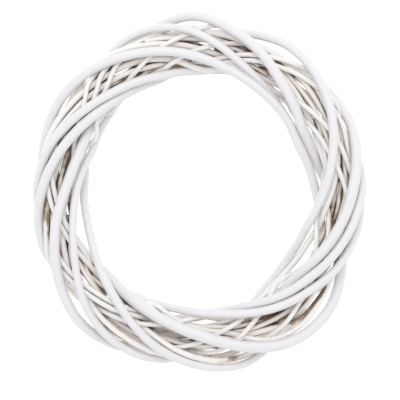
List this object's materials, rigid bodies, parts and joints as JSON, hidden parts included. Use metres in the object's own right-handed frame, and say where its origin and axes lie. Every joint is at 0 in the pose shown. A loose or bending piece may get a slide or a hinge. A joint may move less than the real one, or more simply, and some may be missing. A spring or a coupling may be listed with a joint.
{
  "type": "rattan wreath ring",
  "caption": "Wreath ring wound from long white-painted rattan canes, open in the middle, to hang or lay flat and decorate",
  "frame": {"origin": "Centre of the ring's outline in plan, on the surface that the ring lies on.", "axes": "+Z is the ring's axis, from the back that lies on the surface to the front. +Y is the top of the ring as it hangs, and +X is to the right as seen from the front."},
  "size_m": [0.3352, 0.3634, 0.054],
  "materials": {
    "outer_cane": "matt white paint on smooth cane",
    "inner_cane": "matt white paint on smooth cane, thin in the shelter of other canes",
    "cross_cane": "thin white paint with cream cane showing",
    "core_cane": "patchy white paint over bare tan cane"
  },
  "bodies": {
    "root": {"outer_cane_1": "outer_cane", "outer_cane_2": "outer_cane", "outer_cane_3": "outer_cane", "outer_cane_4": "outer_cane", "inner_cane_1": "inner_cane", "inner_cane_2": "inner_cane", "inner_cane_3": "inner_cane", "inner_cane_4": "inner_cane", "inner_cane_5": "inner_cane", "inner_cane_6": "inner_cane", "cross_cane_1": "cross_cane", "cross_cane_2": "cross_cane", "cross_cane_3": "cross_cane", "cross_cane_4": "cross_cane", "cross_cane_5": "cross_cane", "core_cane_1": "core_cane", "core_cane_2": "core_cane", "core_cane_3": "core_cane", "core_cane_4": "core_cane", "core_cane_5": "core_cane", "core_cane_6": "core_cane", "core_cane_7": "core_cane", "core_cane_8": "core_cane"}
  },
  "joints": []
}
